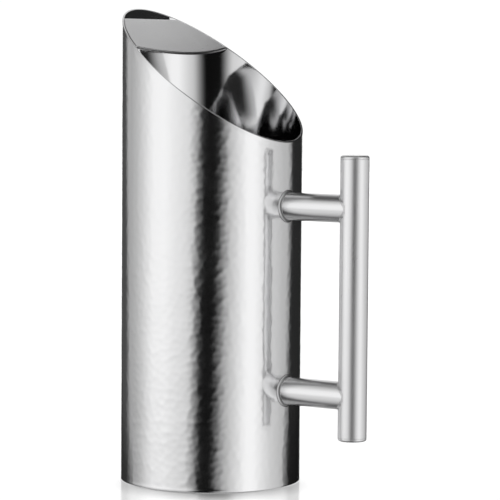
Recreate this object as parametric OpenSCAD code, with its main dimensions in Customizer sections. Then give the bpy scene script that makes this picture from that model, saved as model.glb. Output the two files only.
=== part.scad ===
// Slant-cut water pitcher: a hammered steel tube with a pressed base, a fixed ice guard
// welded across the spout end of the mouth, and a bar handle on two round posts.
// Millimetres. The body's axis is Z, the pitcher stands on z = 0, the handle is towards +X
// and the spout towards -X. The XZ plane is the mirror plane.

/* [Body] */
// Outside diameter of the body tube
body_d = 104; // [85:1:130]
// Wall thickness of the body tube
wall_t = 1; // [0.7:0.1:1.6]
// Height of the rim on the body's axis, halfway between spout and handle side
rim_h = 234; // [190:1:300]
// Slant of the rim, rising towards the spout, in degrees
rim_slant = 36; // [15:1:42]
// Break on the outer bottom edge of the tube
foot_break = 0.3; // [0.1:0.05:0.5]

/* [Base] */
// Sheet thickness of the pressed base pan
pan_t = 1; // [0.7:0.1:1.6]
// Height of the pan floor's underside above the surface the pitcher stands on
pan_rise = 4; // [3:0.5:12]
// Outside bend radius of the pan, between floor and flange
pan_bend_r = 2.5; // [2:0.1:4]
// Leg of the seam weld between the tube's edge and the pan's flange
seam_leg = 0.5; // [0.3:0.05:0.6]

/* [Ice guard] */
// Sheet thickness of the ice guard
guard_t = 1; // [0.7:0.1:1.6]
// Width of the guard up the slant, on the mirror plane
guard_w = 33; // [20:1:42]
// Open gap for pouring between the guard and the spout wall, up the slant
pour_gap = 9.6; // [6:0.2:16]
// Bow of the guard's lower edge, downhill from its two ends
guard_bow = 5.8; // [2:0.2:9]
// Leg of the two welds under the guard's side edges
guard_weld_leg = 1.2; // [0.8:0.1:2]

/* [Handle] */
// Outside diameter of the handle bar
bar_d = 16.2; // [13:0.2:22]
// Wall thickness of the handle bar's tube
bar_wall = 1.2; // [0.8:0.1:2]
// Clear gap for fingers between the body and the bar
finger_gap = 35.4; // [28:0.2:50]
// Height of the lower post's axis above the surface the pitcher stands on
low_post_h = 55; // [40:1:70]
// Drop from the rim's lowest point to the upper post's axis
high_post_drop = 36.2; // [25:0.2:60]
// Reach of the bar above the upper post's axis, end cap included
reach_up = 30; // [15:1:35]
// Reach of the bar below the lower post's axis, end cap included
reach_down = 25; // [15:1:35]
// How much smaller the posts' diameter is than the bar's
post_step = 0.4; // [0.4:0.1:5]
// Wall thickness of the posts' tubes
post_wall = 1.2; // [0.8:0.1:2]
// Leg of the welds between the posts and the body
body_weld_leg = 1.4; // [1:0.1:2.5]
// Leg of the welds between the posts and the bar
bar_weld_leg = 0.8; // [0.5:0.1:1.2]

/* [End caps] */
// Thickness of a cap's head, outside the tube
cap_head_t = 2; // [1.5:0.1:3]
// Edge radius of a cap's head
cap_edge_r = 1.5; // [0.5:0.1:1.5]
// Depth of a cap's plug, inside the tube
cap_plug = 6; // [4:0.5:10]

/* [Hidden] */
$fn = 240;

fit_gap = 0.02;  // clearance between pieces that are welded or pressed together
plug_gap = 0.05; // radial clearance of a cap's plug in the bar
past = 5;        // how far a cutting solid runs past what it cuts

body_r = body_d / 2;
bore_r = body_r - wall_t;
rim_rise = body_r * tan(rim_slant);
spout_h = rim_h + rim_rise;    // highest point of the rim
low_h = rim_h - rim_rise;      // lowest point of the rim
cut_len = 2 * body_d;          // longer than the slanted mouth

flange_r = bore_r - fit_gap;   // outside of the pan's flange
pan_top = pan_rise + pan_t;

// Distances up the slant from the body's axis to the guard's edges
guard_up = bore_r / cos(rim_slant) - pour_gap;
guard_low = guard_up - guard_w;
// The lower edge is an arc through its middle and its two ends on the tube's wall
guard_end_x = (guard_low + guard_bow) * cos(rim_slant);
guard_half = sqrt(pow(bore_r, 2) - pow(guard_end_x, 2));
guard_arc_r = (pow(guard_half, 2) + pow(guard_bow, 2)) / (2 * guard_bow);

bar_r = bar_d / 2;
post_r = (bar_d - post_step) / 2;
bar_x = body_r + finger_gap + bar_r;
low_post_z = low_post_h;
high_post_z = low_h - high_post_drop;
tube_z = low_post_z - reach_down + cap_head_t;
tube_len = high_post_z + reach_up - cap_head_t - tube_z;
saddle = sqrt(pow(bar_r, 2) - pow(post_r, 2)); // from the bar's axis to the posts' sides
plug_r = bar_r - bar_wall - plug_gap;

steel = "silver";
satin = "lightgray";
weld = "darkgray";

// Moves what is drawn flat on z = 0 into the plane of the slanted mouth.
// Local +X runs downhill towards the handle and the origin is on the body's axis.
module in_mouth_plane() {
    translate([0, 0, rim_h]) rotate([0, rim_slant, 0]) children();
}

// Everything above the slanted mouth, or above a plane depth below it.
module above_mouth(depth = 0) {
    in_mouth_plane() translate([-cut_len, -cut_len, -depth]) cube(2 * cut_len);
}

// Lays a cylinder along X from x = from, on a post's axis.
module along_post(z, from, r1, r2, len) {
    translate([from, 0, z]) rotate([0, 90, 0]) cylinder(h = len, r1 = r1, r2 = r2);
}

// The slant-cut body tube, with its bottom edge broken outside and bevelled inside
// for the seam weld.
module body_tube() {
    profile = [
        [bore_r + seam_leg, 0], [body_r - foot_break, 0], [body_r, foot_break],
        [body_r, spout_h + past], [bore_r, spout_h + past], [bore_r, seam_leg]
    ];
    color(steel) difference() {
        rotate_extrude() polygon(profile);
        above_mouth();
    }
}

// The pressed base: a flat floor, a bend and a flange that goes down to the bottom edge.
module base_pan() {
    bend_in = pan_bend_r - pan_t;
    arc = [0 : 10 : 90];
    bend_x = flange_r - pan_bend_r;
    bend_z = pan_top - pan_bend_r;
    outside = [for (a = arc) [bend_x + pan_bend_r * cos(a), bend_z + pan_bend_r * sin(a)]];
    inside = [for (a = arc) [bend_x + bend_in * cos(90 - a), bend_z + bend_in * sin(90 - a)]];
    color(steel) rotate_extrude() polygon(concat(
        [[flange_r - pan_t, 0], [flange_r - seam_leg, 0], [flange_r, seam_leg]],
        outside,
        [[0, pan_top], [0, pan_rise]],
        inside
    ));
}

// Ring of weld metal in the V between the tube's bevel and the flange's bevel.
module base_seam_weld() {
    color(weld) rotate_extrude() polygon([
        [flange_r - seam_leg + fit_gap, 0],
        [bore_r + seam_leg - fit_gap, 0],
        [(flange_r + bore_r) / 2, seam_leg - fit_gap]
    ]);
}

// What the guard covers, seen square to the mouth: the space between its straight upper
// edge and its bowed lower edge, from z = -high to z = 0.
module guard_band(high) {
    intersection() {
        translate([-guard_low - guard_arc_r, 0, -high]) cylinder(h = high, r = guard_arc_r, $fn = 180);
        translate([-guard_up, -body_d, -high]) cube([body_d, 2 * body_d, high]);
    }
}

// The ice guard: a flat plate in the plane of the mouth, set inside the tube's wall.
module ice_guard() {
    color(satin) intersection() {
        cylinder(h = spout_h + past, r = bore_r - fit_gap);
        in_mouth_plane() guard_band(guard_t);
    }
}

// Two beads under the guard, in the corners between its side edges and the tube's wall.
module ice_guard_welds() {
    deep = guard_t + fit_gap;
    color(weld) intersection() {
        difference() {
            cylinder(h = spout_h + past, r = bore_r - fit_gap);
            translate([0, 0, -past]) cylinder(h = spout_h + 3 * past, r = bore_r - guard_weld_leg);
        }
        difference() {
            in_mouth_plane() guard_band(deep + guard_weld_leg);
            above_mouth(deep);
        }
    }
}

// The bar's tube, between the two end caps.
module handle_bar() {
    color(satin) translate([bar_x, 0, tube_z]) difference() {
        cylinder(h = tube_len, r = bar_r);
        translate([0, 0, -past]) cylinder(h = tube_len + 2 * past, r = bar_r - bar_wall);
    }
}

// An end cap, standing on its plug: the plug goes down into the tube, and the head's
// edge is rounded. The head's underside is on z = 0.
module bar_cap() {
    arc = [0 : 10 : 90];
    edge_x = bar_r - cap_edge_r;
    edge_z = cap_head_t - cap_edge_r;
    edge = [for (a = arc) [edge_x + cap_edge_r * cos(a), edge_z + cap_edge_r * sin(a)]];
    color(satin) rotate_extrude() polygon(concat(
        [[0, -cap_plug], [plug_r, -cap_plug], [plug_r, fit_gap], [bar_r, fit_gap]],
        edge,
        [[0, cap_head_t]]
    ));
}

module bar_cap_top() {
    translate([bar_x, 0, tube_z + tube_len]) bar_cap();
}

module bar_cap_bottom() {
    translate([bar_x, 0, tube_z]) mirror([0, 0, 1]) bar_cap();
}

// A post: a short tube, coped at one end to the body and at the other to the bar.
module post(z) {
    color(satin) difference() {
        along_post(z, body_r - past, post_r, post_r, bar_x - body_r + past);
        along_post(z, body_r - 2 * past, post_r - post_wall, post_r - post_wall, bar_x);
        cylinder(h = spout_h, r = body_r + fit_gap);
        translate([bar_x, 0, 0]) cylinder(h = spout_h, r = bar_r + fit_gap);
    }
}

// The fillet of weld metal round a post, where it meets the body.
module body_weld(z) {
    foot = 1; // how far inside the body's surface the cone starts, before it is cut
    color(weld) difference() {
        along_post(z, body_r - foot, post_r + body_weld_leg + foot, post_r + 0.2, body_weld_leg + foot);
        along_post(z, body_r - 2 * past, post_r + fit_gap, post_r + fit_gap, 4 * past);
        cylinder(h = spout_h, r = body_r + fit_gap);
    }
}

// The bead of weld metal round a post, where it meets the bar.
module bar_weld(z) {
    long = bar_d + 4 * bar_weld_leg;
    out_r = post_r + bar_weld_leg;
    color(weld) difference() {
        intersection() {
            along_post(z, bar_x - bar_d, out_r, out_r, bar_d - saddle + bar_weld_leg);
            translate([bar_x, 0, z - long / 2]) cylinder(h = long, r = bar_r + bar_weld_leg);
        }
        along_post(z, bar_x - 2 * bar_d, post_r + fit_gap, post_r + fit_gap, 3 * bar_d);
        translate([bar_x, 0, z - long]) cylinder(h = 2 * long, r = bar_r + fit_gap);
    }
}

body_tube();
base_pan();
base_seam_weld();
ice_guard();
ice_guard_welds();
handle_bar();
bar_cap_top();
bar_cap_bottom();
post(high_post_z);  // upper_post
post(low_post_z);  // lower_post
body_weld(high_post_z);  // upper_body_weld
body_weld(low_post_z);  // lower_body_weld
bar_weld(high_post_z);  // upper_bar_weld
bar_weld(low_post_z);  // lower_bar_weld
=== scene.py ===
"""The looks of a slant-cut hammered steel water pitcher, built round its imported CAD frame.

Lengths are in metres, in the CAD's frame: Z is the body's axis, the pitcher stands on z = 0,
the handle is towards +X and the spout towards -X.
"""

import math

import bpy
import numpy as np
from mathutils import Matrix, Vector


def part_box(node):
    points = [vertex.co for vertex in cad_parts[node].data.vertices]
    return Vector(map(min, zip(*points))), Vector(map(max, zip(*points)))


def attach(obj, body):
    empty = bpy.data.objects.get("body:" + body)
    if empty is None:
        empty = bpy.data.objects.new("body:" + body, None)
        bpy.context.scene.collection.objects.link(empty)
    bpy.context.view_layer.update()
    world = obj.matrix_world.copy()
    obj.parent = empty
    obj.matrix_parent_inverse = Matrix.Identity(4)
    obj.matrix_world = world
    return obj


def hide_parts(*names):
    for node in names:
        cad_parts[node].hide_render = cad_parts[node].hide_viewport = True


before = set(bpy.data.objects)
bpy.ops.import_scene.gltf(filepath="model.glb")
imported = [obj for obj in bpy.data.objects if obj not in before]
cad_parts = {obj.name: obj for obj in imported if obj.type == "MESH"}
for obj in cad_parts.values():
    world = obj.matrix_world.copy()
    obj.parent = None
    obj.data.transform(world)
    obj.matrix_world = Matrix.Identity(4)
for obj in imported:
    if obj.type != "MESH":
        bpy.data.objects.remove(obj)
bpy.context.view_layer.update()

MM = 0.001
TAU = 2 * math.pi

# ---------------------------------------------------------------- sizes
# those that no box of the frame shows
RIM_SLANT = math.radians(36)
WALL = 1.0 * MM
BAR_WALL = 1.2 * MM
POST_WALL = 1.2 * MM
GUARD_THICK = 1.0 * MM
FIT_GAP = 0.02 * MM     # between pieces that touch in the real one
SEAM_LEG = 0.5 * MM
FOOT_BREAK = 0.3 * MM
PAN_SHEET = 1.0 * MM
PAN_BEND = 2.5 * MM     # outside radius of the pan's bend
GUARD_BOW = 5.8 * MM    # how far the guard's downhill edge bows, measured in its plane
GUARD_EDGE = 0.3 * MM   # rounding of the guard's edges
GUARD_WELD_LEG = 1.2 * MM
BODY_WELD_LEG = 1.4 * MM
BAR_WELD_LEG = 0.8 * MM
CAP_HEAD = 2.0 * MM
CAP_EDGE = 1.5 * MM     # rounding of a cap's rim
CAP_PLUG = 6.0 * MM     # depth of a cap's plug
CAP_PLUG_GAP = 0.05 * MM
CAP_CROWN = 0.05 * MM   # how much higher a cap's face is at its middle
BAR_BREAK = 0.12 * MM   # broken edge at the bar's ends

# those worked out from the frame
body_low, body_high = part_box("body_tube")
BODY_R = body_high.y
BORE_R = BODY_R - WALL
SPOUT_H = body_high.z
RIM_H = SPOUT_H - BODY_R * math.tan(RIM_SLANT)
MOUTH_NORMAL = np.array([math.sin(RIM_SLANT), 0, math.cos(RIM_SLANT)])

bar_low, bar_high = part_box("handle_bar")
BAR_X = (bar_low.x + bar_high.x) / 2
BAR_R = (bar_high.x - bar_low.x) / 2

post_low, post_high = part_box("upper_post")
POST_R = post_high.y
UPPER_Z = (post_low.z + post_high.z) / 2
post_low, post_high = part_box("lower_post")
LOWER_Z = (post_low.z + post_high.z) / 2


# ---------------------------------------------------------------- surfaces on a grid
def grid_quads(rows, columns, close_rows, close_columns, first=0):
    """Corner numbers of the quads of a grid of points that is stored row by row."""
    last_row = rows if close_rows else rows - 1
    last_column = columns if close_columns else columns - 1
    r, c = np.meshgrid(np.arange(last_row), np.arange(last_column), indexing="ij")
    r_next, c_next = (r + 1) % rows, (c + 1) % columns
    corners = [r * columns + c, r * columns + c_next, r_next * columns + c_next, r_next * columns + c]
    return np.stack([k.ravel() for k in corners], axis=1) + first


def mesh_piece(name, points, quads, triangles=None):
    """A mesh object from arrays of points, quads and triangles, shaded smooth."""
    triangles = np.zeros((0, 3), int) if triangles is None else triangles
    mesh = bpy.data.meshes.new(name)
    mesh.vertices.add(len(points))
    mesh.vertices.foreach_set("co", np.ascontiguousarray(points, np.float32).ravel())
    corners = np.concatenate([quads.ravel(), triangles.ravel()]).astype(np.int32)
    sizes = np.concatenate([np.full(len(quads), 4), np.full(len(triangles), 3)])
    mesh.loops.add(len(corners))
    mesh.loops.foreach_set("vertex_index", corners)
    mesh.polygons.add(len(sizes))
    starts = np.concatenate([[0], np.cumsum(sizes)[:-1]])
    mesh.polygons.foreach_set("loop_start", starts.astype(np.int32))
    mesh.polygons.foreach_set("use_smooth", np.ones(len(sizes), bool))
    mesh.update(calc_edges=True)
    mesh.validate()
    piece = bpy.data.objects.new(name, mesh)
    bpy.context.scene.collection.objects.link(piece)
    return piece


def ring_piece(name, points, inside_out=False):
    """A closed ring: both ways round the (rows, columns, 3) grid join up."""
    rows, columns, _ = points.shape
    quads = grid_quads(rows, columns, True, True)
    if inside_out:
        quads = quads[:, ::-1]
    return mesh_piece(name, points.reshape(-1, 3), quads)


def end_fans(rows, columns, first=0):
    """Corner numbers of the triangles that close a grid at its first and its last row.

    The middle points of the two fans are stored right after the points of the grid.
    """
    here = np.arange(columns)
    after = (here + 1) % columns
    last = (rows - 1) * columns
    pole = np.full(columns, rows * columns)
    return first + np.concatenate([
        np.stack([pole, after, here], axis=1),
        np.stack([pole + 1, last + here, last + after], axis=1),
    ])


def capped_piece(name, points, start, end, inside_out=False):
    """A surface closed round its columns, whose end rows are drawn in to the points start and end."""
    rows, columns, _ = points.shape
    quads = grid_quads(rows, columns, False, True)
    fans = end_fans(rows, columns)
    if inside_out:
        quads, fans = quads[:, ::-1], fans[:, ::-1]
    every = np.concatenate([points.reshape(-1, 3), [start, end]])
    return mesh_piece(name, every, quads, fans)


def arc(centre, radius, start, end, count):
    """Points on a circular arc in the (radius, height) half plane, angles in degrees."""
    a = np.radians(np.linspace(start, end, count))
    return np.stack([centre[0] + radius * np.cos(a), centre[1] + radius * np.sin(a)], axis=1)


def turned(profile, columns, centre=(0.0, 0.0)):
    """A profile of (radius, height) points turned once about a vertical axis through centre."""
    a = np.arange(columns) * TAU / columns
    r, z = profile[:, 0][:, None], profile[:, 1][:, None]
    return np.stack([centre[0] + r * np.cos(a), centre[1] + r * np.sin(a), z + 0 * a], axis=2)


def smooth_step(x, low, high):
    """0 below low, 1 above high, and an S-shaped rise between them."""
    t = np.clip((x - low) / (high - low), 0, 1)
    return t * t * (3 - 2 * t)


# ---------------------------------------------------------------- the hammered body
MARK_PITCH = 3.6    # mm between hammer marks
MARK_ROWS = 0.866   # distance between rows of marks, as a share of that between marks in a row
MARK_BOWL = 74.0    # mm, radius of the shallow bowl that one blow leaves
MARK_BLEND = 0.003  # mm, how softly two bowls meet
MARK_SUNK = 0.007   # mm, the most that one blow is deeper than another
SWAY = 0.008        # mm, unevenness over a few centimetres
MARKS_FROM = 0.3 * MM  # height over the foot where the marks begin
MARKS_FULL = 1.8 * MM  # height over the foot from which they are at their full depth
MARKS_STOP = 1.6 * MM  # length under the rim over which they die out
RIM_DROP = 0.35 * MM   # how far down the walls the rounding of the cut edge starts
RIM_SQUARE = 0.55      # power that squares off the cut edge's ellipse; 1 leaves it as it is


def hammer_height(around, up):
    """How far the hammered wall stands above its deepest marks, in mm.

    Blows land on a staggered lattice round the tube, each off its place by up to half of the
    spacing and sunk by its own small amount. A blow leaves a shallow bowl, which rises with the
    square of the distance from its centre, and a soft minimum over the blows near a point makes
    the low ridges where the bowls meet. around and up are distances along the wall, in mm.
    """
    girth = TAU * BODY_R / MM
    columns = 2 * round(girth / MARK_PITCH / 2)
    step = girth / columns
    row_step = step * MARK_ROWS
    rows = int(SPOUT_H / MM / row_step) + 6
    blows = np.random.default_rng(41)
    shift_a = blows.uniform(-0.5, 0.5, (rows, columns)) * step
    shift_u = blows.uniform(-0.5, 0.5, (rows, columns)) * row_step
    sunk = blows.uniform(0.0, MARK_SUNK, (rows, columns))
    bowl = MARK_BOWL * blows.uniform(0.75, 1.35, (rows, columns))
    row = np.floor(up / row_step).astype(int) + 2
    total = np.zeros_like(around)
    for dr in (-2, -1, 0, 1, 2):
        r = np.clip(row + dr, 0, rows - 1)
        stagger = (r % 2) * 0.5
        column = np.round(around / step - stagger).astype(int)
        for dc in (-2, -1, 0, 1, 2):
            c = column + dc
            k = c % columns
            da = around - (c + stagger) * step - shift_a[r, k]
            du = up - (r - 2) * row_step - shift_u[r, k]
            height = (da * da + du * du) / (2 * bowl[r, k]) - sunk[r, k]
            total += np.exp(-height / MARK_BLEND)
    # the whole wall is a little uneven over a few centimetres
    turn = around * TAU / girth
    sway = (np.sin(3 * turn + up / 9.0) + np.sin(5 * turn - up / 6.5 + 1.3)
            + np.sin(8 * turn + up / 5.0 + 0.4) + np.sin(-7 * turn + up / 4.1 + 2.2))
    return -MARK_BLEND * np.log(total) + SWAY * sway


def rim_height(x):
    """Height of the slanted mouth's plane at a distance x towards the handle."""
    return RIM_H - x * math.tan(RIM_SLANT)


def make_body():
    """The tube's wall as one closed ring of a profile carried round the axis.

    Up the bore, over the rounded cut edge, down the hammered outside and under the foot. Rows
    are spread between the foot and the slanted mouth's height at each angle, so that the grid
    follows both edges. The cut edge is half of a squared-off ellipse, laid on the mouth's plane.
    The bore is the second material.
    """
    columns, bore_count, edge_count, outside_count = 360, 14, 9, 251
    a = np.arange(columns) * TAU / columns

    def at(radius, height):
        return np.stack([radius * np.cos(a), radius * np.sin(a), height + 0 * a], axis=-1)

    rows = [at(BORE_R + SEAM_LEG, 0.0)]
    inner_top = rim_height(BORE_R * np.cos(a)) - RIM_DROP
    up = np.linspace(0, 1, bore_count) ** 0.8
    rows += [at(BORE_R, SEAM_LEG + t * (inner_top - SEAM_LEG)) for t in up]
    inner_rows = len(rows)
    for turn in np.linspace(math.pi, 0, edge_count)[1:-1]:
        across = math.copysign(abs(math.cos(turn)) ** RIM_SQUARE, math.cos(turn))
        above = abs(math.sin(turn)) ** RIM_SQUARE
        radius = (BORE_R + BODY_R) / 2 + across * WALL / 2
        rows.append(at(radius, rim_height(radius * np.cos(a)) - RIM_DROP * (1 - above)))
    outer_top = rim_height(BODY_R * np.cos(a)) - RIM_DROP
    down = np.linspace(1, 0, outside_count)
    height = FOOT_BREAK + down[:, None] * (outer_top - FOOT_BREAK)
    around = np.broadcast_to(a * BODY_R / MM, height.shape)
    marks = hammer_height(around, height / MM)
    marks = (marks - marks.max()) * MM
    # the marks die out at the rim and the foot, where the edges are dressed
    fade = smooth_step(outer_top - height, 0.0, MARKS_STOP) * smooth_step(height, MARKS_FROM, MARKS_FULL)
    radius = BODY_R + marks * fade
    outside = np.stack([radius * np.cos(a), radius * np.sin(a), height], axis=2)
    foot = [at(BODY_R - FOOT_BREAK * (1 - math.cos(t)), FOOT_BREAK * (1 - math.sin(t)))
            for t in np.radians([30, 60, 90])]
    points = np.concatenate([np.array(rows), outside, np.array(foot)])
    piece = ring_piece("body_tube_hammered", points, inside_out=True)
    inner = np.zeros(len(piece.data.polygons), np.int32)
    inner[: inner_rows * columns] = 1
    piece.data.polygons.foreach_set("material_index", inner)
    return piece


# ---------------------------------------------------------------- base
def make_base():
    """The pressed base pan: a floor, a bend and a flange, turned about the body's axis."""
    floor_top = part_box("base_pan")[1].z
    out = BORE_R - FIT_GAP
    flat = out - PAN_BEND
    corner = (flat, floor_top - PAN_BEND)
    lip = 0.2 * MM  # broken edge inside the flange's foot
    hold = 0.3 * MM  # a row this close under the bend keeps the shading of the flange straight
    rings_out = np.linspace(0.02, 1, 24)[:, None] * [flat, 0] + [0, floor_top]
    flange = np.array([[out, floor_top - PAN_BEND - hold], [out, SEAM_LEG], [out - SEAM_LEG, 0.0],
                       [out - PAN_SHEET + lip, 0.0], [out - PAN_SHEET, lip]])
    rings_in = np.linspace(1, 0.02, 24)[:, None] * [flat, 0] + [0, floor_top - PAN_SHEET]
    profile = np.concatenate([
        rings_out[:-1], arc(corner, PAN_BEND, 90, 0, 10), flange,
        arc(corner, PAN_BEND - PAN_SHEET, 0, 90, 8), rings_in[1:],
    ])
    points = turned(profile, 180)
    middle, under = [0, 0, floor_top], [0, 0, floor_top - PAN_SHEET]
    return capped_piece("base_pan_pressed", points, middle, under, inside_out=True)


def make_seam():
    """The seam weld: a three-sided bead turned about the axis, with its flat side flush with the foot.

    Small ripples that follow each other round the seam lift the flat side, most in its middle.
    """
    columns, ripples = 720, 240
    a = np.arange(columns) * TAU / columns
    ripple = 0.03 * MM * (0.5 + 0.5 * np.cos(a * ripples))
    mid = (BORE_R + BORE_R - FIT_GAP) / 2
    half = SEAM_LEG - 2 * FIT_GAP
    section = np.array([[-half, 0.0], [-half * 0.5, 0.0], [0.0, 0.0], [half * 0.5, 0.0], [half, 0.0],
                        [half * 0.5, half * 0.5], [0.0, half], [-half * 0.5, half * 0.5]])
    lift = np.array([0, 1, 1.6, 1, 0, 0, 0, 0])
    r = mid + section[:, 0][:, None] + 0 * a
    z = section[:, 1][:, None] + lift[:, None] * ripple
    points = np.stack([r * np.cos(a), r * np.sin(a), z], axis=2)
    return ring_piece("base_seam_bead", points)


# ---------------------------------------------------------------- ice guard
def guard_edges():
    """Uphill and downhill edges of the guard on the mirror plane, as x."""
    low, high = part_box("ice_guard")
    return low.x + GUARD_THICK * math.sin(RIM_SLANT), high.x


def guard_outline(u, v, radius):
    """Where the guard's top sheet is, for u from its uphill to its downhill edge and v across it.

    The uphill edge is a straight chord and the downhill one an arc that bows downhill. A point's
    distance across is v times the half width of the tube at its own distance along, which a few
    rounds of substitution settle.
    """
    x_up, x_down = guard_edges()
    bow = GUARD_BOW * math.cos(RIM_SLANT)
    end_half = math.sqrt(radius ** 2 - (x_down - bow) ** 2)
    x = x_up + (x_down - x_up) * u + 0 * v
    for _ in range(12):
        y = v * np.sqrt(radius ** 2 - x ** 2)
        x = x_up + u * (x_down - bow * (y / end_half) ** 2 - x_up)
    return x, y


def make_guard():
    """The ice guard: a flat sheet in the plane of the mouth, with softly rounded edges.

    The outline's grid, with its edge drawn in by the rounding, makes the top, and dropped along
    the sheet's normal it makes the bottom. Rings on two quarter circles join them round the edge.
    """
    n_u, n_v = 29, 61
    u, v = np.meshgrid(np.linspace(0, 1, n_u), np.linspace(-1, 1, n_v), indexing="ij")
    x, y = guard_outline(u, v, BORE_R - FIT_GAP)
    sheet = np.stack([x, y, rim_height(x)], axis=2)
    edge = np.concatenate([
        np.stack([np.zeros(n_v - 1, int), np.arange(n_v - 1)], axis=1),
        np.stack([np.arange(n_u - 1), np.full(n_u - 1, n_v - 1)], axis=1),
        np.stack([np.full(n_v - 1, n_u - 1), np.arange(n_v - 1, 0, -1)], axis=1),
        np.stack([np.arange(n_u - 1, 0, -1), np.zeros(n_u - 1, int)], axis=1),
    ])
    loop = sheet[edge[:, 0], edge[:, 1]]
    along = np.roll(loop, -1, axis=0) - np.roll(loop, 1, axis=0)
    inward = np.cross(MOUTH_NORMAL, along)
    inward /= np.linalg.norm(inward, axis=1)[:, None]
    face = sheet.copy()
    face[edge[:, 0], edge[:, 1]] = loop + inward * GUARD_EDGE

    def edge_ring(t, depth):
        """The loop at a share t of the rounding's depth, drawn in as a quarter circle is."""
        return loop + inward * GUARD_EDGE * (1 - math.sqrt(1 - (1 - t) ** 2)) - MOUTH_NORMAL * depth

    steps = (0.3, 0.65, 1.0)
    rings = [edge_ring(t, GUARD_EDGE * t) for t in steps]
    rings += [edge_ring(t, GUARD_THICK - GUARD_EDGE * t) for t in steps[::-1]]
    under = face - MOUTH_NORMAL * GUARD_THICK
    points = np.concatenate([face.reshape(-1, 3)] + rings + [under.reshape(-1, 3)])

    # corner numbers of each ring, with the edge of the top before them and of the bottom after
    count, around = n_u * n_v, len(loop)
    under_first = count + len(rings) * around
    face_edge = edge[:, 0] * n_v + edge[:, 1]
    chain = [face_edge] + [count + k * around + np.arange(around) for k in range(len(rings))]
    chain.append(face_edge + under_first)
    sides = [
        np.stack([upper, np.roll(upper, -1), np.roll(below, -1), below], axis=1)
        for upper, below in zip(chain[:-1], chain[1:])
    ]
    top_quads = grid_quads(n_u, n_v, False, False)[:, ::-1]
    under_quads = top_quads[:, ::-1] + under_first
    quads = np.concatenate([top_quads, under_quads] + sides)
    return mesh_piece("ice_guard_plate", points, quads)


def guard_bead(side):
    """The points of one bead, down the wall under the guard's side edge, and its two end points.

    At each step the section is a quarter fillet between the wall and the underside, drawn in
    towards their corner, and its size swells with the ripples of the bead and falls to nothing
    at both ends. side is -1 or 1, for the edge that the bead follows.
    """
    steps, curve_count, ripples = 90, 8, 22
    end_share, swell = 0.08, 0.08
    sag, root = 0.32, 0.02  # how far out of the corner the face is pulled, and the back lies
    u = np.linspace(0.03, 0.97, steps)
    x, y = guard_outline(u, side * np.ones(steps), BORE_R - 2 * FIT_GAP)
    path = np.stack([x, y, rim_height(x)], axis=1) - MOUTH_NORMAL * (GUARD_THICK + FIT_GAP)
    toward = -np.stack([x, y, 0 * x], axis=1) / BORE_R
    toward -= (toward @ MOUTH_NORMAL)[:, None] * MOUTH_NORMAL
    toward /= np.linalg.norm(toward, axis=1)[:, None]
    wall_down = np.array([0, 0, -1.0]) + 0 * toward
    end = np.sin(math.pi * np.clip(np.minimum(u, 1 - u) / end_share, 0, 1) / 2) ** 0.5
    size = GUARD_WELD_LEG * end * (1 + swell * np.cos(u * TAU * ripples))
    diagonal = toward + wall_down
    section = np.array([
        (1 - s) ** 2 * toward + s ** 2 * wall_down + 2 * s * (1 - s) * sag * diagonal
        for s in np.linspace(0, 1, curve_count)
    ] + [root * diagonal])
    points = path[:, None, :] + np.transpose(section, (1, 0, 2)) * size[:, None, None]
    return points, [path[0], path[-1]]


def make_guard_welds():
    """The two beads under the guard, as one piece, each drawn in to a point at both ends."""
    points, quads, fans = [], [], []
    first = 0
    for side in (-1, 1):
        bead, ends = guard_bead(side)
        rows, columns, _ = bead.shape
        strips = grid_quads(rows, columns, False, True, first)
        caps = end_fans(rows, columns, first)
        if side < 0:
            strips, caps = strips[:, ::-1], caps[:, ::-1]
        points += [bead.reshape(-1, 3), ends]
        quads.append(strips)
        fans.append(caps)
        first += rows * columns + len(ends)
    whole = [np.concatenate(part) for part in (points, quads, fans)]
    return mesh_piece("ice_guard_beads", *whole)


# ---------------------------------------------------------------- handle
def make_bar():
    """The bar's tube: outside, both square ends with a small break, and the bore, turned."""
    low, high = bar_low.z, bar_high.z
    inner = BAR_R - BAR_WALL
    hold = 0.15 * MM  # a row this close to each end keeps the shading of the side straight
    start, stop = low + BAR_BREAK, high - BAR_BREAK
    out = np.concatenate([[start], np.linspace(start + hold, stop - hold, 40), [stop]])
    profile = np.concatenate([
        np.stack([np.full(len(out), BAR_R), out], axis=1),
        [[BAR_R - BAR_BREAK, high], [inner, high]],
        [[inner, low], [BAR_R - BAR_BREAK, low]],
    ])
    return ring_piece("handle_bar_tube", turned(profile, 144, (BAR_X, 0.0)))


def make_cap(name, node, up):
    """An end cap: a plug, a thin parting line and a head with a rounded edge, turned.

    The head's edge is a quarter circle and its face is very slightly crowned: its height falls
    with the square of the distance from the axis. The lower cap is the upper one upside down.
    """
    low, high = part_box(node)
    plug = BAR_R - BAR_WALL - CAP_PLUG_GAP
    face = high.z if up else -low.z
    base = face - CAP_HEAD + FIT_GAP
    tip = face - CAP_HEAD - CAP_PLUG
    lead = 0.5 * MM  # bevel that leads the plug into the bar
    flat = BAR_R - CAP_EDGE
    rings = np.linspace(1, 0.05, 12)[1:]
    profile = np.concatenate([
        [[plug - lead, tip], [plug, tip + lead], [plug, base]],
        [[BAR_R - BAR_BREAK, base], [BAR_R, base + BAR_BREAK]],
        arc((flat, face - CAP_CROWN - CAP_EDGE), CAP_EDGE, 0, 90, 12),
        np.stack([rings * flat, face - CAP_CROWN * rings ** 2], axis=1),
    ])
    points = turned(profile, 144, (BAR_X, 0.0))
    start, end = np.array([[BAR_X, 0, tip], [BAR_X, 0, face]])
    if up:
        return capped_piece(name, points, start, end)
    flip = np.array([1, 1, -1])
    return capped_piece(name, points * flip, start * flip, end * flip, inside_out=True)


def body_side(y):
    """x of the body's outside, on the handle's side, at a distance y off the mirror plane."""
    return np.sqrt(BODY_R ** 2 - y ** 2)


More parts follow.
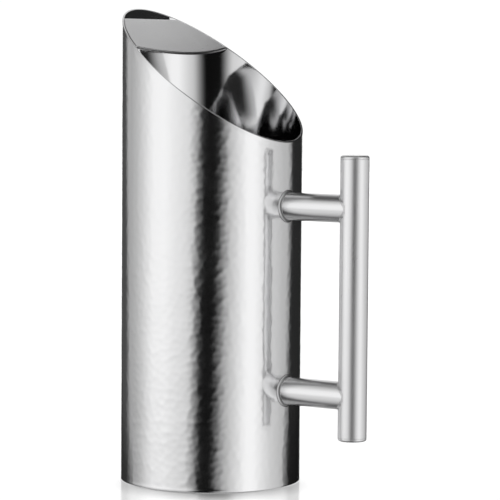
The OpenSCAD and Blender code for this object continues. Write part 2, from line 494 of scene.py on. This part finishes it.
def bar_side(y):
    """x of the bar's surface that faces the body, at a distance y off the mirror plane."""
    return BAR_X - np.sqrt(np.maximum(BAR_R ** 2 - y ** 2, 0))


def make_post(name, z):
    """A post: a tube between the body and the bar, coped at each end to follow the round it meets.

    Going round the post, each line along it runs from the body's surface to the bar's at that
    line's own distance off the mirror plane; then the bore runs back.
    """
    columns = 120
    a = np.arange(columns) * TAU / columns
    outside = np.concatenate([[0, 0.004], np.linspace(0.03, 0.97, 16), [0.996, 1]])
    grid = []
    for radius, shares in ((POST_R, outside), (POST_R - POST_WALL, np.linspace(1, 0, 4))):
        y, h = radius * np.cos(a), radius * np.sin(a)
        start = body_side(y) + FIT_GAP
        stop = bar_side(y) - FIT_GAP
        for share in shares:
            grid.append(np.stack([start + share * (stop - start), y, z + h], axis=1))
    return ring_piece(name, np.array(grid))


def weld_ring(name, z, leg, on_bar, ripples):
    """The fillet round a post's foot, on the body or on the bar.

    Going round the post, C is the corner where the post meets the surface, T is a leg along the
    post from C, and F is a leg out on the surface. The bead's face is a shallow curve from F to T
    that sags towards C, its swell follows the ripples of the weld, and the back runs through C.
    """
    columns = 288
    a = np.arange(columns) * TAU / columns
    ripple = 1 + 0.02 * np.cos(a * ripples)
    surface = bar_side if on_bar else body_side
    away = -1.0 if on_bar else 1.0
    widest = BAR_R * 0.985  # the bead on the bar ends short of the bar's own outline

    def spot(radius, lift):
        y, h = radius * np.cos(a), radius * np.sin(a)
        if on_bar:
            y = np.clip(y, -widest, widest)
        return np.stack([surface(y) + away * (lift + FIT_GAP), y, z + h], axis=1)

    foot = spot(POST_R + leg * ripple, 0 * a)
    corner = spot(POST_R + FIT_GAP + 0 * a, 0 * a)
    tip = spot(POST_R + FIT_GAP + 0 * a, leg * ripple)
    pull = 0.58 * corner + 0.21 * (foot + tip)
    face = np.linspace(0, 1, 9)
    rows = [(1 - s) ** 2 * foot + 2 * s * (1 - s) * pull + s ** 2 * tip for s in face]
    rows += [(corner + tip) / 2, corner, (corner + foot) / 2]
    return ring_piece(name, np.array(rows), inside_out=on_bar)


# ---------------------------------------------------------------- steel
GRAIN_VALUES = (0.7, 1.3)  # lowest and highest sum of the two noises, for the roughness
DULL_SHARE = 0.965         # how bright the dullest smears are beside the brightest


def value_node(nodes, kind, inputs):
    """A new node of a kind, with its inputs set from (name or number, value) pairs."""
    node = nodes.new(kind)
    for key, value in inputs:
        node.inputs[key].default_value = value
    return node


def steel(name, tint, rough, rough_spread, grain_scale, grain_depth, brushed=0.0, along="Z"):
    """Steel whose roughness drifts with broad smears and fine lines, with a bump of fine grain.

    grain_scale stretches the noise along X, Y and Z, so a large number across and a small one
    along makes lines, and grain_depth is the bump's height in metres. All patterns read Object
    coordinates, in metres. brushed spreads the reflections more one way than the other on a
    round piece, and along names its axis.
    """
    material = bpy.data.materials.new(name)
    material.use_nodes = True
    nodes, links = material.node_tree.nodes, material.node_tree.links
    shader = nodes["Principled BSDF"]
    shader.inputs["Metallic"].default_value = 1.0
    if brushed:
        shader.inputs["Anisotropic"].default_value = brushed
        round_it = nodes.new("ShaderNodeTangent")
        round_it.direction_type = "RADIAL"
        round_it.axis = along
        links.new(round_it.outputs["Tangent"], shader.inputs["Tangent"])
    place = nodes.new("ShaderNodeTexCoord")

    smear_inputs = [("Scale", 38.0), ("Detail", 4.0), ("Roughness", 0.6)]
    smear = value_node(nodes, "ShaderNodeTexNoise", smear_inputs)
    links.new(place.outputs["Object"], smear.inputs["Vector"])
    stretch = value_node(nodes, "ShaderNodeMapping", [("Scale", grain_scale)])
    links.new(place.outputs["Object"], stretch.inputs["Vector"])
    grain_inputs = [("Scale", 1.0), ("Detail", 3.0), ("Roughness", 0.65)]
    grain = value_node(nodes, "ShaderNodeTexNoise", grain_inputs)
    links.new(stretch.outputs["Vector"], grain.inputs["Vector"])

    both = nodes.new("ShaderNodeMath")
    both.operation = "ADD"
    links.new(smear.outputs["Fac"], both.inputs[0])
    links.new(grain.outputs["Fac"], both.inputs[1])
    spread = value_node(nodes, "ShaderNodeMapRange", [
        ("From Min", GRAIN_VALUES[0]), ("From Max", GRAIN_VALUES[1]),
        ("To Min", rough - rough_spread), ("To Max", rough + rough_spread),
    ])
    links.new(both.outputs["Value"], spread.inputs["Value"])
    links.new(spread.outputs["Result"], shader.inputs["Roughness"])

    # on a vector range, socket 6 is what goes in, 9 its lowest result and 10 its highest
    colour = nodes.new("ShaderNodeMapRange")
    colour.data_type = "FLOAT_VECTOR"
    colour.inputs[9].default_value = tuple(c * DULL_SHARE for c in tint)
    colour.inputs[10].default_value = tint
    level = nodes.new("ShaderNodeCombineXYZ")
    for axis in ("X", "Y", "Z"):
        links.new(smear.outputs["Fac"], level.inputs[axis])
    links.new(level.outputs["Vector"], colour.inputs[6])
    links.new(colour.outputs["Vector"], shader.inputs["Base Color"])

    bump = value_node(nodes, "ShaderNodeBump", [("Strength", 1.0), ("Distance", grain_depth)])
    links.new(grain.outputs["Fac"], bump.inputs["Height"])
    links.new(bump.outputs["Normal"], shader.inputs["Normal"])
    return material


hammered = steel("hammered_steel", (0.90, 0.90, 0.905), 0.13, 0.025, (700, 700, 500), 0.000004)
bore = steel("bore_steel", (0.86, 0.86, 0.865), 0.06, 0.02, (300, 300, 2500), 0.000004)
satin = steel("satin_steel", (0.80, 0.80, 0.805), 0.30, 0.03, (2200, 120, 2200), 0.000006)
spun = steel("spun_steel", (0.80, 0.80, 0.805), 0.26, 0.03, (900, 900, 900), 0.000005)
polished = steel("polished_steel", (0.96, 0.96, 0.965), 0.29, 0.02, (2400, 2400, 60), 0.000002, 0.75, "Z")
post_steel = steel("post_steel", (0.88, 0.88, 0.885), 0.22, 0.02, (80, 2400, 2400), 0.000002, 0.6, "X")
weld = steel("weld_steel", (0.68, 0.68, 0.685), 0.30, 0.04, (600, 600, 600), 0.000004)


# ---------------------------------------------------------------- the pieces in place
def finish_piece(piece, node, slot, *materials):
    """Gives a piece its finish, and puts it on the body in place of its CAD node."""
    for material in materials:
        piece.data.materials.append(material)
    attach(piece, "root")
    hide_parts(node)


finish_piece(make_body(), "body_tube", "hammered_steel", hammered, bore)
finish_piece(make_base(), "base_pan", "satin_steel", spun)
finish_piece(make_seam(), "base_seam_weld", "weld_steel", weld)
finish_piece(make_guard(), "ice_guard", "satin_steel", satin)
finish_piece(make_bar(), "handle_bar", "polished_steel", polished)
for which in ("top", "bottom"):
    cap = make_cap(f"bar_cap_{which}_turned", f"bar_cap_{which}", which == "top")
    finish_piece(cap, f"bar_cap_{which}", "polished_steel", polished)
for which, z in (("upper", UPPER_Z), ("lower", LOWER_Z)):
    finish_piece(make_post(f"{which}_post_tube", z), f"{which}_post", "polished_steel", post_steel)
    on_body = weld_ring(f"{which}_body_fillet", z, BODY_WELD_LEG, False, 46)
    finish_piece(on_body, f"{which}_body_weld", "weld_steel", weld)
    on_bar = weld_ring(f"{which}_bar_fillet", z, BAR_WELD_LEG, True, 60)
    finish_piece(on_bar, f"{which}_bar_weld", "weld_steel", weld)
finish_piece(make_guard_welds(), "ice_guard_welds", "weld_steel", weld)


# ---------------------------------------------------------------- camera
VIEW_AZIMUTH = math.radians(33.95)
VIEW_DISTANCE = 1.451              # from the body's axis
VIEW_HEIGHT = 0.2435
VIEW_TURN = math.radians(0.873)    # to the right of the axis
VIEW_TILT = math.radians(4.36)     # below the horizon
VIEW_ROLL = math.radians(0.43)
VIEW_LENS = 181.4                  # focal length in mm, on a sensor 36 mm wide
TO_CAMERA = np.array([math.sin(VIEW_AZIMUTH), -math.cos(VIEW_AZIMUTH)])
TO_RIGHT = np.array([math.cos(VIEW_AZIMUTH), math.sin(VIEW_AZIMUTH)])


def make_camera():
    """The camera: it stands off the axis towards TO_CAMERA, and looks back, a little down."""
    camera_data = bpy.data.cameras.new("camera")
    camera_data.lens = VIEW_LENS
    camera_data.sensor_width = 36
    camera_data.clip_start = 0.05
    camera = bpy.data.objects.new("camera", camera_data)
    bpy.context.scene.collection.objects.link(camera)
    stand = VIEW_DISTANCE * TO_CAMERA
    camera.matrix_world = (
        Matrix.Translation((stand[0], stand[1], VIEW_HEIGHT))
        @ Matrix.Rotation(VIEW_AZIMUTH - VIEW_TURN, 4, "Z")
        @ Matrix.Rotation(math.pi / 2 - VIEW_TILT, 4, "X")
        @ Matrix.Rotation(VIEW_ROLL, 4, "Z")
    )
    bpy.context.scene.camera = camera


make_camera()


# ---------------------------------------------------------------- studio
# Brightness of the room by direction, as (degrees, level). 0 degrees round is towards the
# camera, and the angle grows anticlockwise seen from above; 0 degrees up is level.
ROOM_ROUND = [
    (-180, 0.85), (-150, 0.85), (-138, 0.5), (-127, 0.40), (-110, 0.53),
    (-95, 0.74), (-80, 0.98), (-62, 1.0), (-50, 0.90), (-38, 0.82), (-28, 0.74), (-10, 0.62),
    (10, 0.40), (20, 0.52), (32, 0.74), (46, 1.0), (56, 1.0), (66, 0.86), (80, 0.68),
    (105, 0.50), (125, 0.5), (150, 0.85), (180, 0.85),
]
ROOM_UP = [
    (-90, 0.22), (-65, 0.26), (-40, 0.8), (-28, 1.0), (18, 1.0), (30, 0.88), (40, 0.60), (52, 0.22),
    (60, 0.12), (90, 0.12),
]
# light from overhead, on the camera's side of the room only
OVERHEAD_UP = [
    (-90, 0.0), (28, 0.0), (40, 0.72), (50, 0.72), (60, 0.56), (70, 0.38), (80, 0.20), (90, 0.06),
]
ROOM_STRENGTH = 1.03
CARD_LEVEL = 0.010  # share of the light that the dark card in front of the pitcher leaves


class Wiring:
    """Makes the nodes of the room's light and joins them up."""

    def __init__(self, tree):
        self.nodes, self.links = tree.nodes, tree.links

    def calc(self, operation, *values):
        """An arithmetic node, whose inputs are numbers or other nodes' outputs."""
        node = self.nodes.new("ShaderNodeMath")
        node.operation = operation
        for socket, value in zip(node.inputs, values):
            if isinstance(value, (int, float)):
                socket.default_value = value
            else:
                self.links.new(value, socket)
        return node.outputs["Value"]

    def ramp(self, angle, span, stops):
        """Brightness by angle, straight between the stops; span is the angle's whole range."""
        node = self.nodes.new("ShaderNodeValToRGB")
        node.color_ramp.interpolation = "LINEAR"
        elements = node.color_ramp.elements
        while len(elements) > 1:
            elements.remove(elements[0])
        for k, (degrees, level) in enumerate(stops):
            position = degrees / span + 0.5
            element = elements[0] if k == 0 else elements.new(position)
            element.position = position
            element.color = (level, level, level, 1)
        self.links.new(self.calc("MULTIPLY_ADD", angle, 1 / span, 0.5), node.inputs["Fac"])
        return node.outputs["Color"]

    def edge(self, value, low, high, start, end):
        """An S-shaped passage from start to end, as value goes from low to high."""
        node = value_node(self.nodes, "ShaderNodeMapRange", [
            ("From Min", low), ("From Max", high), ("To Min", start), ("To Max", end),
        ])
        node.interpolation_type = "SMOOTHSTEP"
        node.clamp = True
        self.links.new(value, node.inputs["Value"])
        return node.outputs["Result"]

    def mix(self, blend, share, first, second):
        """A blend of two colours. Sockets 0, 6 and 7 of a colour mix are its share and the two."""
        node = self.nodes.new("ShaderNodeMix")
        node.data_type = "RGBA"
        node.blend_type = blend
        for number, value in ((0, share), (6, first), (7, second)):
            if isinstance(value, (float, tuple)):
                node.inputs[number].default_value = value
            else:
                self.links.new(value, node.inputs[number])
        return node.outputs[2]


def front_card(room, around, height):
    """Share of the light left by the dark card that stands in the camera's direction.

    Its two sides are soft edges by angle round. Between 12 degrees down and 8 degrees up they
    shift to the right with height, the right one more, and from 22 degrees up the card fades, to
    leave 0.6 of the light. The light from the left is also held back near the floor.
    """
    near_level = room.calc("MINIMUM", room.calc("MAXIMUM", height, -12.0), 8.0)
    from_left = room.calc("MULTIPLY_ADD", near_level, -0.6, around)
    from_right = room.calc("MULTIPLY_ADD", near_level, -1.0, around)
    left_edge = room.edge(from_left, -28, -8.5, 1.0, CARD_LEVEL)
    right_edge = room.edge(from_right, 8.4, 27.4, CARD_LEVEL, 1.0)
    top_edge = room.edge(height, 22, 42, 0.0, 0.6)
    card = room.calc("MAXIMUM", room.calc("MAXIMUM", left_edge, right_edge), top_edge)
    left = room.edge(around, -30, -10, 0.28, 0.0)
    far_left = room.edge(around, -105, -78, 0.46, 0.0)
    by_floor = room.edge(height, -15, -4, 1.0, 0.0)
    held_back = room.calc("MULTIPLY", room.calc("MAXIMUM", left, far_left), by_floor)
    return room.calc("MULTIPLY", card, room.calc("SUBTRACT", 1.0, held_back))


def studio_light():
    """Soft light from all round, brighter and darker by direction, as from panels and cards.

    The brightness is that by angle round times that by angle up, or at least the light from
    overhead on the camera's side, and times what the dark card in front leaves. The camera
    itself sees a plain white backdrop.
    """
    world = bpy.data.worlds.new("studio")
    bpy.context.scene.world = world
    world.use_nodes = True
    room = Wiring(world.node_tree)
    place = room.nodes.new("ShaderNodeTexCoord")
    turn = value_node(room.nodes, "ShaderNodeVectorRotate", [("Angle", math.pi / 2 - VIEW_AZIMUTH)])
    turn.rotation_type = "Z_AXIS"
    room.links.new(place.outputs["Generated"], turn.inputs["Vector"])
    parts = room.nodes.new("ShaderNodeSeparateXYZ")
    room.links.new(turn.outputs["Vector"], parts.inputs["Vector"])
    x, y, z = [parts.outputs[axis] for axis in ("X", "Y", "Z")]
    around = room.calc("DEGREES", room.calc("ARCTAN2", y, x))
    height = room.calc("DEGREES", room.calc("ARCSINE", z))

    towards_camera = room.edge(x, 0.0, 0.15, 0.0, 1.0)
    overhead = room.calc("MULTIPLY", room.ramp(height, 180, OVERHEAD_UP), towards_camera)
    by_height = room.calc("MAXIMUM", room.ramp(height, 180, ROOM_UP), overhead)
    light = room.mix("MULTIPLY", 1.0, room.ramp(around, 360, ROOM_ROUND), by_height)
    light = room.mix("MULTIPLY", 1.0, light, front_card(room, around, height))

    seen = room.nodes.new("ShaderNodeLightPath").outputs["Is Camera Ray"]
    background = room.nodes["Background"]
    room.links.new(room.mix("MIX", seen, light, (1.0, 1.0, 1.0, 1.0)), background.inputs["Color"])
    background.inputs["Strength"].default_value = ROOM_STRENGTH


studio_light()


FLAG_DIM = 0.40         # brightness of a flag under the floor's level, as a share of that above
FLAG_DIM_SPAN = 0.03    # metres above and below the floor's level over which it changes


def flag_material(name):
    """A black surface that glows as the flag's own attribute says."""
    material = bpy.data.materials.new(name)
    material.use_nodes = True
    nodes, links = material.node_tree.nodes, material.node_tree.links
    shader = nodes["Principled BSDF"]
    shader.inputs["Base Color"].default_value = (0.0, 0.0, 0.0, 1)
    shader.inputs["Specular IOR Level"].default_value = 0.0
    shader.inputs["Emission Color"].default_value = (1, 1, 1, 1)
    read = nodes.new("ShaderNodeAttribute")
    read.attribute_name = "shine"
    links.new(read.outputs["Fac"], shader.inputs["Emission Strength"])
    return material


def make_flag(name, near, far, heights, glow, soft, lean):
    """A dark upright card beside the pitcher, seen only in the reflections of its steel.

    It draws the dark line down each side of a shiny round body. near and far are its two ends,
    each as (right, away) of the body's axis as the camera sees it, and heights its lowest and
    highest edge. A point is the share t of the way from the near end to the far one, and the
    near edge steps back with height by lean. glow is the brightness at the near edge and over
    the rest, soft is the share of the card over which one turns into the other, and the card
    is darker near the floor.
    """
    columns, rows = 61, 33
    t, z = np.meshgrid(np.linspace(0, 1, columns) ** 2, np.linspace(*heights, rows), indexing="ij")
    right = near[0] + t * (far[0] - near[0])
    away = near[1] + t * (far[1] - near[1]) + lean * (z - LOWER_Z) * (1 - t)
    plan = right[..., None] * TO_RIGHT - away[..., None] * TO_CAMERA
    points = np.concatenate([plan, z[..., None]], axis=2).reshape(-1, 3)
    card = mesh_piece(name, points, grid_quads(columns, rows, False, False))
    level = glow[1] + (glow[0] - glow[1]) * (1 - smooth_step(t, 0.0, soft))
    level *= FLAG_DIM + (1 - FLAG_DIM) * smooth_step(z, -FLAG_DIM_SPAN, FLAG_DIM_SPAN)
    shine = card.data.attributes.new("shine", "FLOAT", "POINT")
    shine.data.foreach_set("value", level.ravel().astype(np.float32))
    card.data.materials.append(flag_material(name))
    for sight in ("visible_camera", "visible_diffuse", "visible_shadow"):
        setattr(card, sight, False)


make_flag("right_flag", near=(0.189, 0.020), far=(0.300, 1.0), heights=(-0.2, 0.68),
          glow=(0.45, 0.02), soft=0.050, lean=0.12)
make_flag("left_flag", near=(-0.145, 0.040), far=(-0.235, 1.0), heights=(-0.2, 0.44),
          glow=(0.43, 0.070), soft=0.065, lean=0.20)
# narrow strips above the handle's height, which only the inside of the spout sees
make_flag("spout_flag", near=(0.165, -0.450), far=(0.175, 0.240), heights=(0.200, 0.272),
          glow=(0.60, 0.02), soft=0.36, lean=2.2)
make_flag("gap_flag", near=(0.165, -0.060), far=(0.175, 0.240), heights=(0.272, 0.340),
          glow=(0.02, 0.02), soft=0.050, lean=0.0)


# ---------------------------------------------------------------- floor
FLOOR_R = 4.0
FLOOR_DROP = 0.2 * MM     # the floor lies this far under the foot
FLOOR_GLOW = 0.50
SHADE_FORWARD = 24 * MM   # from the axis to the middle of the soft shade, towards the camera
SHADE_SOFT = 10 * MM      # how far past the body's radius the glow is whole again


def floor_material():
    """White with a faint gloss and a glow of its own, which dies away under the pitcher.

    The glow rises with the distance from a point a little towards the camera from the axis, so
    that a soft shade falls forward of the foot.
    """
    material = bpy.data.materials.new("white_floor")
    material.use_nodes = True
    nodes, links = material.node_tree.nodes, material.node_tree.links
    shader = nodes["Principled BSDF"]
    shader.inputs["Base Color"].default_value = (0.85, 0.85, 0.85, 1)
    shader.inputs["Roughness"].default_value = 0.15
    shader.inputs["IOR"].default_value = 1.9
    shader.inputs["Emission Color"].default_value = (1, 1, 1, 1)
    place = nodes.new("ShaderNodeTexCoord")
    middle = SHADE_FORWARD * TO_CAMERA
    from_middle = nodes.new("ShaderNodeVectorMath")
    from_middle.operation = "SUBTRACT"
    from_middle.inputs[1].default_value = (middle[0], middle[1], 0.0)
    links.new(place.outputs["Object"], from_middle.inputs[0])
    distance = nodes.new("ShaderNodeVectorMath")
    distance.operation = "LENGTH"
    links.new(from_middle.outputs["Vector"], distance.inputs[0])
    glow = value_node(nodes, "ShaderNodeMapRange", [
        ("From Min", BODY_R - SHADE_FORWARD), ("From Max", BODY_R + SHADE_SOFT),
        ("To Min", 0.0), ("To Max", FLOOR_GLOW),
    ])
    glow.interpolation_type = "SMOOTHSTEP"
    links.new(distance.outputs["Value"], glow.inputs["Value"])
    links.new(glow.outputs["Result"], shader.inputs["Emission Strength"])
    return material


def make_floor():
    """A round floor: rings turned about the axis, closer together near it, and a fan in the middle."""
    rings, columns = 40, 96
    radii = np.linspace(0.02, 1, rings) ** 2 * FLOOR_R
    profile = np.stack([radii, np.full(rings, -FLOOR_DROP)], axis=1)
    points = np.concatenate([turned(profile, columns).reshape(-1, 3), [[0, 0, -FLOOR_DROP]]])
    quads = grid_quads(rings, columns, False, True)[:, ::-1]
    fan = end_fans(rings, columns)[:columns, ::-1]
    floor = mesh_piece("floor", points, quads, fan)
    floor.data.materials.append(floor_material())
    floor.visible_glossy = False


make_floor()
bpy.context.scene.view_settings.view_transform = "Standard"
